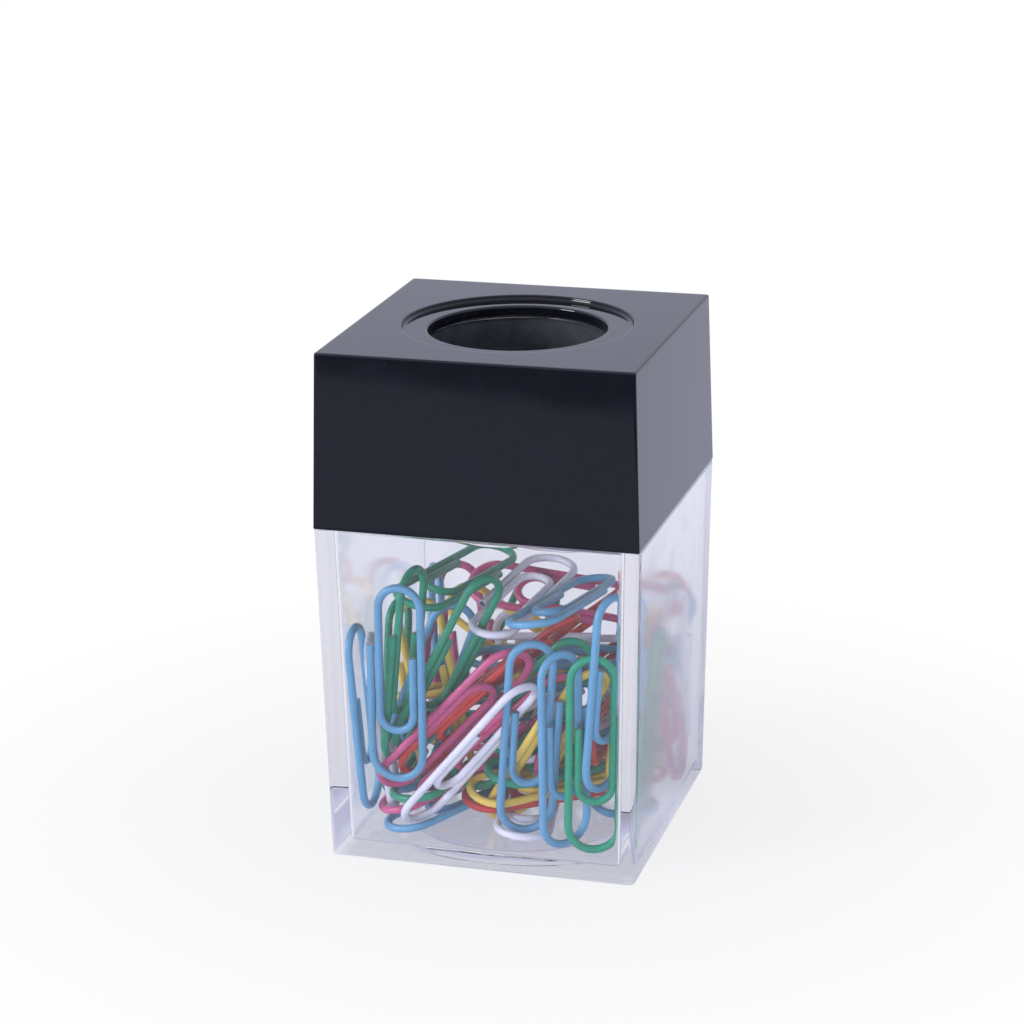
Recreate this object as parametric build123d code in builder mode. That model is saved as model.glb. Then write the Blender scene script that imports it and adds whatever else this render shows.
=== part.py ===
from build123d import *
import math
import os
from dataclasses import dataclass

import numpy as np
from scipy.spatial import cKDTree
from scipy.spatial.transform import Rotation as Spin

# A magnetic paper clip holder: a clear square box of clips under a black slip-over cap, with a ring
# magnet glued round the cap's mouth. +Z is up, the front faces -Y and the origin is the middle of the
# foot. Lengths are in millimetres and angles in degrees.

# Clear box, which widens upwards by its mould draft
width = 44.0  # across the box and the cap, where they meet
shoulder_height = 46.7  # from the foot to the shoulder that carries the cap
box_draft = 1.15
box_wall = 2.3  # at the shoulder
box_floor = 2.0
box_corner = 0.7  # radius of the outer upright edges
pocket_corner = 0.8  # radius of the inner upright edges
foot_round = 0.5
pocket_round = 0.5  # where the walls meet the floor inside
shoulder_round = 0.3
neck_height = 6.0  # from the shoulder to the rim, inside the cap
neck_corner = 0.8
rim_round = 0.25
foot_recess_dia = 33.0
foot_recess_depth = 0.6
recess_round = 0.2
gate_dia = 2.4  # stub of the sprue in the middle of the recess
gate_height = 0.3

# Cap, which widens downwards by its mould draft
cap_height = 23.7
cap_draft = 1.5
cap_wall = 1.8
cap_lip = 1.0  # wall left beside the neck
cap_corner = 0.3
cap_edge = 0.25  # round of the crisp top edges
cap_plate = 2.3  # thickness of the top
slip_gap = 0.1  # between the neck and the lip, all round
seat_gap = 0.4  # between the rim and the ledge above it
mouth_margin = 0.4  # how far the plate reaches in past the magnet's bore
mouth_round = 0.3
step_width = 3.5  # of the shallow step round the mouth
step_depth = 0.65
step_round = 0.2
collar_wall = 1.2  # thin ring under the plate that locates the magnet
collar_height = 3.0

# Ring magnet of sintered ferrite, and its glue
magnet_dia = 34.0
magnet_ring = 4.6  # from the magnet's bore to its outside
magnet_height = 4.5
magnet_chamfer = 0.4
magnet_gap = 0.15  # between the magnet and its collar, all round
glue_height = 0.25
glue_margin = 0.6  # how far the glue stays inside the magnet's outer edge

# Clips of vinyl-coated wire, all alike
wire_dia = 1.1
clip_length = 28.3
clip_width = 8.15
leg_gap = 0.1  # between two legs that lie side by side
inner_bend_height = 6.9  # from the outside of the big bend to the outside of the inner bend
outer_end_height = 19.5  # from the outside of the big bend to the cut end of the outer leg
inner_end_height = 18.0  # the same for the inner leg
bend_corners = 5  # a half turn of wire is drawn with this many corners
wire_sides = 6

# The heap of clips
drawn_pocket = 39.4  # width of the pocket in which the lies of the heap were drawn
lie_gap = 0.3  # between a clip and what it lies against
trial_step = 0.8  # spacing of the points at which clips are tried against each other
ease_rounds = 1500
sink_rounds = 350  # rounds in which loose clips also sink
sink = 0.02
ease_share = 1.6  # share of the push asked for that a clip takes in one round
firm_share = 0.2  # the same for a firm clip
ease_slack = 0.04  # push that is too small to go on for

# Heights and widths that follow
rim_height = shoulder_height + neck_height
top_height = shoulder_height + cap_height
plate_under = top_height - cap_plate
magnet_top = plate_under - glue_height
magnet_bore = magnet_dia - 2 * magnet_ring
mouth_dia = magnet_bore - 2 * mouth_margin
step_dia = mouth_dia + 2 * step_width
box_slope = math.tan(math.radians(box_draft))
foot_width = width - 2 * shoulder_height * box_slope
pocket_width = width - 2 * box_wall  # at the shoulder
pocket_mouth = pocket_width + 2 * neck_height * box_slope  # at the rim
lip_width = width - 2 * cap_lip  # inside the cap, beside the neck
neck_width = lip_width - 2 * slip_gap

os.makedirs("parts", exist_ok=True)


def keep(piece, label):
    """Label a finished piece and write it under that name."""
    piece.part.label = label
    export_step(piece.part, f"parts/{label}.step")


def upright(edges):
    """The edges that run up and down, those that lean by the mould draft included."""
    return edges.filter_by(lambda edge: abs((edge % 0.5).Z) > 0.9)


def flat_faces(piece):
    """The level faces of a piece, lowest first."""
    return piece.faces().filter_by(Axis.Z).sort_by(Axis.Z)


# Clear box: a drafted block, a neck on its shoulder, and one drafted pocket down through both
with BuildPart() as clear_box:
    with BuildSketch(Plane.XY):
        Rectangle(foot_width, foot_width)
    extrude(amount=shoulder_height, taper=-box_draft)
    fillet(upright(clear_box.edges()), box_corner)
    fillet(flat_faces(clear_box)[0].edges(), foot_round)
    fillet(flat_faces(clear_box)[-1].edges(), shoulder_round)
    with BuildSketch(Plane.XY.offset(shoulder_height)):
        RectangleRounded(neck_width, neck_width, neck_corner)
    extrude(amount=neck_height, taper=cap_draft)
    with BuildSketch(Plane.XY.offset(rim_height)):
        Rectangle(pocket_mouth, pocket_mouth)
    extrude(amount=box_floor - rim_height, taper=box_draft, mode=Mode.SUBTRACT)
    fillet(upright(clear_box.edges(Select.LAST)), pocket_corner)
    fillet(flat_faces(clear_box)[1].edges(), pocket_round)
    fillet(flat_faces(clear_box)[-1].edges(), rim_round)
    with BuildSketch(Plane.XY):
        Circle(foot_recess_dia / 2)
    extrude(amount=foot_recess_depth, mode=Mode.SUBTRACT)
    fillet(clear_box.edges(Select.LAST).sort_by(Axis.Z)[0], recess_round)
    with BuildSketch(Plane.XY.offset(foot_recess_depth)):
        Circle(gate_dia / 2)
    extrude(amount=-gate_height)
keep(clear_box, "clear_box")

# Cap: a drafted shell, rebated to slip over the neck, with its mouth and the magnet's collar
with BuildPart() as cap:
    with BuildSketch(Plane.XY.offset(shoulder_height)):
        Rectangle(width, width)
    extrude(amount=cap_height, taper=cap_draft)
    fillet(upright(cap.edges()), cap_corner)
    fillet(flat_faces(cap)[-1].edges(), cap_edge)
    with BuildSketch(Plane.XY.offset(shoulder_height)):
        RectangleRounded(width - 2 * cap_wall, width - 2 * cap_wall, neck_corner)
    extrude(amount=plate_under - shoulder_height, taper=cap_draft, mode=Mode.SUBTRACT)
    with BuildSketch(Plane.XY.offset(shoulder_height)):
        RectangleRounded(lip_width, lip_width, neck_corner + slip_gap)
    extrude(amount=neck_height + seat_gap, taper=cap_draft, mode=Mode.SUBTRACT)
    with BuildSketch(Plane.XY.offset(plate_under)):
        Circle(magnet_dia / 2 + magnet_gap + collar_wall)
        Circle(magnet_dia / 2 + magnet_gap, mode=Mode.SUBTRACT)
    extrude(amount=-collar_height)
    with BuildSketch(Plane.XY.offset(top_height)):
        Circle(step_dia / 2)
    extrude(amount=-step_depth, mode=Mode.SUBTRACT)
    fillet(cap.edges(Select.LAST).sort_by(Axis.Z)[-1], step_round)
    with BuildSketch(Plane.XY.offset(top_height)):
        Circle(mouth_dia / 2)
    extrude(amount=-2 * cap_plate, mode=Mode.SUBTRACT)
    fillet(cap.edges(Select.LAST).filter_by(GeomType.CIRCLE), mouth_round)
keep(cap, "cap")

# Ring magnet, with the broken edges that sintered rings have
with BuildPart() as ring_magnet:
    with BuildSketch(Plane.XY.offset(magnet_top)):
        Circle(magnet_dia / 2)
        Circle(magnet_bore / 2, mode=Mode.SUBTRACT)
    extrude(amount=-magnet_height)
    chamfer(ring_magnet.edges().filter_by(GeomType.CIRCLE), magnet_chamfer)
keep(ring_magnet, "ring_magnet")

# Glue between the magnet and the plate
with BuildPart() as magnet_adhesive:
    with BuildSketch(Plane.XY.offset(magnet_top)):
        Circle(magnet_dia / 2 - glue_margin)
        Circle(magnet_bore / 2 + magnet_chamfer, mode=Mode.SUBTRACT)
    extrude(amount=glue_height)
keep(magnet_adhesive, "magnet_adhesive")


# Heap of clips: each clip's outline lies in its own plane, with the big bend down and the leg that joins
# the big bend to the top bend on the right
def half_turn(centre, radius, start):
    """Corners of a half turn to the left about a centre, from a bearing in degrees.

    Straight runs between the corners touch the true arc.
    """
    part_turn = 180 / bend_corners
    reach = radius / math.cos(math.radians(part_turn / 2))
    bearings = [math.radians(start + part_turn * (corner + 0.5)) for corner in range(bend_corners)]
    return [(centre[0] + reach * math.cos(b), centre[1] + reach * math.sin(b)) for b in bearings]


def clip_corners():
    """Corners of the wire's centre line, from the outer leg's cut end to the inner leg's cut end."""
    middle = clip_length / 2
    big_radius = (clip_width - wire_dia) / 2
    inner_radius = big_radius - wire_dia - leg_gap
    top_radius = (big_radius + inner_radius) / 2
    big_centre = (0, big_radius + wire_dia / 2 - middle)
    top_centre = (big_radius - top_radius, middle - top_radius - wire_dia / 2)
    inner_centre = (0, inner_bend_height + inner_radius + wire_dia / 2 - middle)
    return [
        (-big_radius, outer_end_height - middle),
        *half_turn(big_centre, big_radius, 180),
        *half_turn(top_centre, top_radius, 0),
        *half_turn(inner_centre, inner_radius, 180),
        (inner_radius, inner_end_height - middle),
    ]


def trial_points(corners):
    """Points along the centre line, at most a trial step apart, as rows of x, y and 0."""
    rows = []
    for start, end in zip(corners, corners[1:]):
        count = math.ceil(math.dist(start, end) / trial_step)
        rows += [np.linspace(start, end, count, endpoint=False)]
    flat = np.vstack([*rows, corners[-1]])
    return np.column_stack([flat, np.zeros(len(flat))])


@dataclass
class Lie:
    """How a clip lies, read from one face of the pocket and seen from outside that face.

    Across is to the right of the middle. Up is the height above the foot or, on the floor, the way to
    the front. Depth is how far the clip's middle lies in from the face. The turn is clockwise from
    upright, the roll about the clip's own length swings its right edge inwards, and the tip then swings
    its upper end inwards. A firm clip is wedged, and gives way less than the others.
    """

    colour: str
    face: str
    across: float
    up: float
    depth: float
    turn: float = 0
    roll: float = 0
    tip: float = 0
    firm: bool = False


# The faces of the pocket, each with its z axis out of the box
faces = {
    "front": Plane((0, 0, 0), x_dir=(1, 0, 0), z_dir=(0, -1, 0)),
    "right": Plane((0, 0, 0), x_dir=(0, 1, 0), z_dir=(1, 0, 0)),
    "back": Plane((0, 0, 0), x_dir=(-1, 0, 0), z_dir=(0, 1, 0)),
    "left": Plane((0, 0, 0), x_dir=(0, -1, 0), z_dir=(-1, 0, 0)),
    "floor": Plane((0, 0, 0), x_dir=(1, 0, 0), z_dir=(0, 0, -1)),
}

heap = [
    # Against the front, standing or slanting
    Lie("blue", "front", -11.9, 25.0, 1.0, 0, 0, -2, firm=True),
    Lie("blue", "front", 17.0, 25.0, 3.9, 9, 240, 3, firm=True),
    Lie("green", "front", 14.5, 16.4, 3.4, -3, 214, firm=True),
    Lie("blue", "front", 10.5, 16.4, 3.8, 0, 228, firm=True),
    Lie("blue", "front", 5.5, 16.4, 4.0, 0, 212, -4, firm=True),
    Lie("white", "front", -2.3, 13.5, 4.0, 41, 233, -4, firm=True),
    Lie("pink", "front", -5.3, 18.8, 6.4, 221, -30, 8, firm=True),
    Lie("green", "front", -6.4, 24.0, 7.3, 33, 212, 8, firm=True),
    Lie("red", "front", -3.6, 18.2, 9.8, 43, 220, 6, firm=True),
    Lie("red", "front", -0.8, 22.5, 12.0, 43, 65, 6, firm=True),
    Lie("pink", "front", -0.5, 15.0, 10.0, 40, 60, 2, firm=True),
    Lie("green", "front", -12.4, 25.2, 6.6, 2, 50, firm=True),
    Lie("yellow", "front", 4.0, 15.0, 9.0, 25, 40),
    Lie("green", "front", 3.0, 18.0, 11.0, 38, 200),
    Lie("blue", "front", -11.0, 17.5, 10.0, 27, 205),
    # Against the left wall
    Lie("blue", "left", 14.0, 18.0, 1.0, 14, firm=True),
    Lie("white", "left", 12.0, 15.8, 2.4, 193, 10, firm=True),
    Lie("green", "left", 1.0, 22.5, 1.2, -12),
    Lie("pink", "left", -6.0, 20.0, 1.2, 25, 180),
    Lie("blue", "left", -14.0, 17.0, 1.5, -6),
    # Against the right wall
    Lie("green", "right", -3.0, 17.0, 1.0, 8),
    Lie("pink", "right", 5.0, 19.0, 1.2, -20),
    Lie("white", "right", 13.0, 16.5, 1.5, 5, 180),
    Lie("yellow", "right", 1.0, 25.0, 3.0, 60),
    # Against the back
    Lie("blue", "back", -12.0, 18.0, 1.0, -10),
    Lie("white", "back", -3.0, 17.0, 1.2, 12, 180),
    Lie("green", "back", 5.0, 20.0, 1.0, -35),
    Lie("pink", "back", 13.0, 17.0, 1.5, 5),
    Lie("yellow", "back", 0.0, 28.0, 3.0, 70),
    Lie("red", "back", -7.0, 26.0, 3.0, -50),
    # Flat on the floor
    Lie("white", "floor", 2.6, 4.6, 1.0, 188, firm=True),
    Lie("blue", "floor", -4.5, 5.7, 2.4, 145, 0, -7, firm=True),
    Lie("pink", "floor", -9.5, 3.0, 3.0, 155),
    Lie("green", "floor", -12.2, 4.0, 5.0, 176),
    Lie("red", "floor", 6.0, 2.6, 3.6, 128, firm=True),
    Lie("yellow", "floor", 6.2, 3.0, 5.4, 130, firm=True),
    Lie("green", "floor", 6.4, 3.2, 7.4, 132, 6, firm=True),
    Lie("blue", "floor", 7.0, -2.0, 2.5, 60),
    # Inside the heap
    Lie("blue", "floor", 0.0, -6.0, 9.0, 80, 8),
    Lie("white", "floor", 9.0, -3.2, 14.5, 149, 80),
    Lie("green", "floor", -5.0, -8.0, 14.0, 72, 12),
    Lie("pink", "floor", 9.5, -1.5, 10.5, 151, 85),
    Lie("blue", "floor", -3.0, -7.0, 19.0, 84, 10),
    # On top, seen from above
    Lie("green", "floor", -8.8, -1.5, 31.6, 166, 20, 1, firm=True),
    Lie("white", "floor", -0.4, -3.0, 28.9, -5, -8, -1, firm=True),
    Lie("blue", "floor", 6.8, 2.5, 30.5, 170, 0, 3, firm=True),
    Lie("pink", "floor", 4.0, -12.0, 27.2, 90, 12, firm=True),
    Lie("white", "floor", 4.0, -14.0, 24.8, 91, 10),
    Lie("blue", "floor", 6.0, -7.0, 22.8, 95),
    Lie("yellow", "floor", -6.0, -6.0, 21.8, 100, 10),
    Lie("yellow", "front", -7.6, 18.6, 13.0, 5, 12),
    Lie("red", "right", 2.0, 20.5, 4.0, -68),
]


def half_pocket(heights):
    """Half the clear width inside the box at some heights."""
    return pocket_width / 2 + (heights - shoulder_height) * box_slope


def past_faces(points):
    """How far points lie past where the wire would touch each face, and each face's way out."""
    room = wire_dia / 2 + lie_gap
    heights = points[..., 2]
    for name, face in faces.items():
        outward = np.array(tuple(face.z_dir))
        limit = -box_floor if name == "floor" else half_pocket(heights)
        yield points @ outward - limit + room, outward


def first_lie(lie):
    """The plane of a clip where its lie puts it, before it is eased clear of the others."""
    face = faces[lie.face]
    spread = pocket_width / drawn_pocket
    on_floor = lie.face == "floor"
    up = lie.up * spread if on_floor else lie.up
    surface = -box_floor if on_floor else half_pocket(up)
    turns = Rot(X=-lie.tip) * Rot(Z=-lie.turn) * Rot(Y=lie.roll)
    return Plane(Location(face) * Pos(lie.across * spread, up, surface - lie.depth) * turns)


def ease_apart(planes, firm, wire):
    """Ease clips apart until none touches another or the box, and return their planes.

    Each round finds the points of different clips that are too close, and the points past a face. Every
    such point asks to be pushed half the way clear, and each clip then moves and turns, as a rigid
    piece, by its share of the mean of what its points ask. Firm clips give way less, and don't sink.
    """
    spots = np.array([tuple(plane.origin) for plane in planes])
    spins = np.array([[tuple(p.x_dir), tuple(p.y_dir), tuple(p.z_dir)] for p in planes])
    owner = np.repeat(np.arange(len(planes)), len(wire))
    reach = wire_dia + lie_gap
    shares = np.where(firm, firm_share, ease_share)
    inertia = np.eye(3) * (wire**2).sum(axis=1).mean() - wire.T @ wire / len(wire)
    for turn in range(ease_rounds):
        sinking = turn < sink_rounds
        arms = np.einsum("pi,cij->cpj", wire, spins)
        points = (spots[:, None, :] + arms).reshape(-1, 3)
        pairs = cKDTree(points).query_pairs(reach, output_type="ndarray")
        one, other = pairs[owner[pairs[:, 0]] != owner[pairs[:, 1]]].T
        apart = points[one] - points[other]
        gap = np.linalg.norm(apart, axis=1, keepdims=True)
        push = apart / gap * (reach - gap) / 2
        pushes = np.zeros_like(points)
        touches = np.zeros(len(points))
        np.add.at(pushes, one, push)
        np.add.at(pushes, other, -push)
        np.add.at(touches, one, 1)
        np.add.at(touches, other, 1)
        for past, outward in past_faces(points):
            pushes -= np.maximum(past, 0)[:, None] * outward
            touches += past > 0
        if not sinking and np.abs(pushes).max() < ease_slack:
            break
        pushes = pushes.reshape(arms.shape)
        count = np.maximum(touches.reshape(len(planes), -1).sum(axis=1), 1)[:, None]
        spots += shares * pushes.sum(axis=1) / count
        if sinking:
            spots[:, 2:] -= sink * ~firm
        torque = np.einsum("cij,cj->ci", spins, np.cross(arms, pushes).sum(axis=1) / count)
        twist = np.einsum("ci,cij->cj", np.linalg.solve(inertia, torque.T).T, spins)
        spins = np.einsum("cij,ckj->cki", Spin.from_rotvec(shares * twist).as_matrix(), spins)
    return [Plane(tuple(o), x_dir=tuple(s[0]), z_dir=tuple(s[2])) for o, s in zip(spots, spins)]


def lay(heap):
    """The colours and the planes of the clips of the heap, eased clear of each other."""
    firm = np.array([[lie.firm] for lie in heap])
    planes = ease_apart([first_lie(lie) for lie in heap], firm, trial_points(clip_corners()))
    return [(lie.colour, plane) for lie, plane in zip(heap, planes)]


# Bent clips, each a six-sided wire swept along its centre line
def bend_clip(plane):
    """A clip bent in a plane, with corners of the wire standing up from that plane."""
    with BuildPart() as clip:
        with BuildLine(plane) as centre_line:
            Polyline(*clip_corners())
        start = centre_line.line @ 0
        with BuildSketch(Plane(start, x_dir=plane.z_dir, z_dir=centre_line.line % 0)):
            RegularPolygon(wire_dia / 2, wire_sides)
        sweep(transition=Transition.RIGHT)
    return clip


numbers = {}
for colour, plane in lay(heap):
    numbers[colour] = numbers.get(colour, 0) + 1
    keep(bend_clip(plane), f"clip_{colour}_{numbers[colour]}")
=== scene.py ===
"""Looks of a magnetic paper clip holder: a clear box of vinyl-coated clips under a black slip-over cap.

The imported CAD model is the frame. Each of its solids is replaced, where it is, by a finished surface worked
out from the same sizes. The holder's sizes are in millimetres until a mesh is made. Meshes and the studio
are in metres.
"""

import logging
import math
from collections.abc import Sequence
from dataclasses import dataclass
from enum import Enum
from typing import ClassVar

import bpy
import numpy as np
from mathutils import Matrix, Vector


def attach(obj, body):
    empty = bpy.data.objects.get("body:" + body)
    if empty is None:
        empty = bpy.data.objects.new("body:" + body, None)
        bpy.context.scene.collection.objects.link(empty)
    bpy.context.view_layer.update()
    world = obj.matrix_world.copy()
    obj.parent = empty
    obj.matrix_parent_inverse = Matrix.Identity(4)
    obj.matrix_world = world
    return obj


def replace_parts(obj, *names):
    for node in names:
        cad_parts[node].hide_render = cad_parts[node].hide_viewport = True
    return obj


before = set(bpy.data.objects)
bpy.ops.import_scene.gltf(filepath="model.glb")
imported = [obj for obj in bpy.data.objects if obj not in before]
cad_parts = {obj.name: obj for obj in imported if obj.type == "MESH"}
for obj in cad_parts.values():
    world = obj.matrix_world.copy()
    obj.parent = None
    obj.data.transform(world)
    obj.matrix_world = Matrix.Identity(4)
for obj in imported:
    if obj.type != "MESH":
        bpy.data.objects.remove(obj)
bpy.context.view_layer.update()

log = logging.getLogger("clip_holder")

MM = 0.001
ROUND = math.inf  # corner radius of a ring that is a full circle
SMOOTH_ANGLE = math.radians(32)  # edges that turn more than this are drawn sharp
ARC_RINGS = 7  # rings on a rounded edge
RUN_SAMPLES = 20  # places at which each straight run of a wire's centre line counts

Span = tuple[float, float]
Spot = tuple[float, float, float]
Surface = tuple[np.ndarray, list[list[int]], np.ndarray]  # points, faces and the ring that each face is on
Socket = bpy.types.NodeSocket
Tree = bpy.types.NodeTree


class VinylColour(Enum):
    """Colours of the vinyl coats, by the word that is in the name of a clip's node."""

    BLUE = "#66a6c7"
    GREEN = "#169c73"
    PINK = "#d45887"
    WHITE = "#f2f1f6"
    YELLOW = "#f8d65e"
    RED = "#cf3b30"


# Tools that every piece uses
def linear(hex_colour: str) -> tuple[float, float, float, float]:
    """Turn an sRGB hex colour to linear red, green, blue and an alpha of 1.

    Args:
        hex_colour: A colour such as "#1a2b3c".

    Returns:
        The four linear values.
    """
    parts = np.array([int(hex_colour[at : at + 2], 16) for at in (1, 3, 5)]) / 255
    low, high = parts / 12.92, ((parts + 0.055) / 1.055) ** 2.4
    return (*np.where(parts <= 0.04045, low, high).tolist(), 1.0)


def add_node(tree: Tree, kind: str, inputs: dict | Sequence = (), **settings: str) -> bpy.types.NodeOutputs:
    """Add a node to a tree with its settings, its input values and its links.

    Args:
        tree: The tree that gets the node.
        kind: Blender's name for the kind, after ShaderNode.
        inputs: Values, or outputs to link from, by the name or number of the input, or in the inputs' order.
        settings: Values of the node's own settings.

    Returns:
        The new node's outputs.
    """
    node = tree.nodes.new("ShaderNode" + kind)
    for name, value in settings.items():
        setattr(node, name, value)
    for name, value in inputs.items() if isinstance(inputs, dict) else enumerate(inputs):
        if isinstance(value, Socket):
            tree.links.new(value, node.inputs[name])
        else:
            node.inputs[name].default_value = value
    return node.outputs


def ring_bearings() -> np.ndarray:
    """Bearings at which every ring of a moulding has a point, close together towards the corners.

    The tangents of the bearings in one eighth of a turn are even along the side and crowd towards 1, where
    the round corner is. The other eighths are mirror images of it.

    Returns:
        The bearings of a whole turn, in radians.
    """
    side_end, side_points = 0.94, 9
    corner_reach, corner_points, crowding = 0.045, 10, 1.6
    side = np.linspace(0, side_end, side_points)
    corner = 1 - corner_reach * (1 - np.linspace(0, 1, corner_points)) ** crowding
    eighth = np.arctan(np.concatenate([side, corner]))
    quarter = np.concatenate([eighth, math.pi / 2 - eighth[-2:0:-1]])
    return np.concatenate([quarter + turn * math.pi / 2 for turn in range(4)])


def moulded_rings(rows: np.ndarray) -> np.ndarray:
    """Rings of a square moulding: where rays at the ring bearings meet a square with round corners.

    A ray meets a side at half the width over the cosine of its angle to the side's normal. Past the end of
    the flat it meets the corner's arc, at the larger root of the quadratic for a circle about the arc's
    centre. A ring whose corner radius is as large as its half width is a circle.

    Args:
        rows: Half width, corner radius and height of each ring.

    Returns:
        The points, by ring, bearing and axis.
    """
    half, corner, height = rows.T[:, :, None]
    corner = np.minimum(corner, half)
    bearing = ring_bearings()
    folded = np.abs((bearing + math.pi / 4) % (math.pi / 2) - math.pi / 4)
    inset = half - corner
    along = inset * (np.cos(folded) + np.sin(folded))
    on_arc = along + np.sqrt(np.maximum(along**2 - 2 * inset**2 + corner**2, 0))
    reach = np.where(half * np.tan(folded) <= inset, half / np.cos(folded), on_arc)
    level = np.broadcast_to(height, reach.shape)
    return np.stack([reach * np.cos(bearing), reach * np.sin(bearing), level], axis=-1)


def edge_rows(half: float, height: float, radius: float, turn: Span, corner: float) -> np.ndarray:
    """Rows of a rounded edge: an arc in the upright section of a moulding.

    Args:
        half: Half width at the arc's centre.
        height: Height of the arc's centre.
        radius: Radius of the arc.
        turn: First and last bearing of the arc, in degrees, with 0 outwards and 90 up.
        corner: Corner radius of its rings.

    Returns:
        The rows, from the first bearing to the last.
    """
    bearing = np.radians(np.linspace(*turn, ARC_RINGS))
    out = half + radius * np.cos(bearing)
    up = height + radius * np.sin(bearing)
    return np.column_stack([out, np.full(out.shape, corner), up])


def skin(grid: np.ndarray, loop: bool) -> Surface:
    """Join a grid of rings into one closed surface.

    Args:
        grid: Points by ring, place on the ring and axis.
        loop: Whether the last ring joins the first. If not, a fan to a middle point closes each end.

    Returns:
        The points, the faces, and the number of the ring that each face starts from, -1 for the first fan.
    """
    count, around = grid.shape[:2]
    index = np.arange(count * around).reshape(count, around)
    if loop:
        lower, upper = index, np.roll(index, -1, axis=0)
    else:
        lower, upper = index[:-1], index[1:]
    corners = [lower, np.roll(lower, -1, axis=1), np.roll(upper, -1, axis=1), upper]
    faces = np.stack(corners, axis=-1).reshape(-1, 4).tolist()
    rings = np.repeat(np.arange(len(lower)), around)
    points = grid.reshape(-1, 3)
    if loop:
        return points, faces, rings
    for ring, start in ((index[0][::-1], -1), (index[-1], count - 1)):
        middle = np.full(around, len(points))
        points = np.vstack([points, points[ring].mean(axis=0)])
        faces += np.column_stack([ring, np.roll(ring, -1), middle]).tolist()
        rings = np.concatenate([rings, np.full(around, start)])
    return points, faces, rings


def enclosed(points: np.ndarray, faces: list[list[int]]) -> float:
    """Volume inside a closed surface, which is negative if its faces point inwards.

    Each face is split into triangles from its first corner, and the volumes of the tetrahedra from the
    origin to the triangles are added.

    Args:
        points: The corners.
        faces: The faces, as numbers of corners.

    Returns:
        The volume.
    """
    fans = [(face[0], face[at], face[at + 1]) for face in faces for at in range(1, len(face) - 1)]
    a, b, c = points[np.array(fans)].transpose(1, 0, 2)
    return float(np.einsum("ij,ij->", a, np.cross(b, c)) / 6)


# Finishes
@dataclass(frozen=True)
class Finish:
    """A finish that is made into a material once and then shared."""

    name: str

    def shade(self, tree: Tree) -> Socket:
        """Add the finish's nodes to a material's tree and return its shader output."""
        raise NotImplementedError

    def fill(self, tree: Tree) -> Socket | None:
        """Return what the inside of the material does to light, which is nothing unless it is clear."""
        return None

    def material(self) -> bpy.types.Material:
        """Give the finish's material, made at the first call.

        Returns:
            The material.
        """
        made = bpy.data.materials.get(self.name)
        if made is None:
            made = bpy.data.materials.new(self.name)
            made.use_nodes = True
            made.node_tree.nodes.clear()
            ends = {"Surface": self.shade(made.node_tree)}
            depth = self.fill(made.node_tree)
            if depth is not None:
                ends["Volume"] = depth
            add_node(made.node_tree, "OutputMaterial", ends)
        return made

    def lumps(self, tree: Tree, size_mm: float, detail: float) -> Socket:
        """Add a pattern of soft lumps that have a real size.

        Args:
            tree: The material's tree.
            size_mm: Width of a lump.
            detail: How many finer layers the pattern has.

        Returns:
            The pattern's value, about 0.5 on average.
        """
        place = add_node(tree, "TexCoord")["Object"]
        inputs = {"Vector": place, "Scale": 1 / (size_mm * MM), "Detail": detail}
        return add_node(tree, "TexNoise", inputs)["Fac"]


@dataclass(frozen=True)
class ClearPolystyrene(Finish):
    """Crystal polystyrene, injection moulded in a polished tool.

    It is as bright as glass and bends light more, with a cold tint, faint waves where the melt flowed, a few
    scuffs from handling and hairline rubs, which blur what is seen through a wall at a slant.
    """

    tint: str = "#f3f4fc"
    ior: float = 1.59
    wave_mm: float = 9.0
    wave_depth_mm: float = 0.012
    scuff_mm: float = 4.0
    scuff_span: Span = (0.52, 0.72)
    roughness: Span = (0.012, 0.07)
    slant_span: Span = (0.45, 0.75)
    blur: float = 0.09
    depth_tint: str = "#c9c6d2"
    depth_density: float = 8.0

    def fill(self, tree: Tree) -> Socket:
        """Add the grey that shows where one looks along a wall, and return it."""
        inputs = {"Color": linear(self.depth_tint), "Density": self.depth_density}
        return add_node(tree, "VolumeAbsorption", inputs)["Volume"]

    def shade(self, tree: Tree) -> Socket:
        """Add the nodes: glass to the eye, and open to lamps and soft light, so that these reach the clips.

        Args:
            tree: The material's tree.

        Returns:
            The shader's output.
        """
        scuffs = (self.lumps(tree, self.scuff_mm, detail=8.0), *self.scuff_span, *self.roughness)
        gloss = add_node(tree, "MapRange", scuffs)["Result"]
        facing = add_node(tree, "LayerWeight")["Facing"]
        inside = add_node(tree, "NewGeometry")["Backfacing"]
        slant = add_node(tree, "Math", (facing, inside), operation="SUBTRACT")["Value"]
        veil = add_node(tree, "MapRange", (slant, *self.slant_span, 0.0, self.blur))["Result"]
        rough = add_node(tree, "Math", (gloss, veil), operation="ADD")["Value"]
        melt = self.lumps(tree, self.wave_mm, detail=1.0)
        waves = add_node(tree, "Bump", {"Height": melt, "Distance": self.wave_depth_mm * MM})
        glass = add_node(tree, "BsdfPrincipled", {
            "Base Color": linear(self.tint), "Roughness": rough, "IOR": self.ior, "Transmission Weight": 1.0,
            "Normal": waves["Normal"],
        })
        clear = add_node(tree, "BsdfTransparent", {"Color": linear(self.tint)})
        path = add_node(tree, "LightPath")
        lights = (path["Is Shadow Ray"], path["Is Diffuse Ray"])
        lit = add_node(tree, "Math", lights, operation="MAXIMUM")["Value"]
        return add_node(tree, "MixShader", (lit, glass["BSDF"], clear["BSDF"]))["Shader"]


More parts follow.
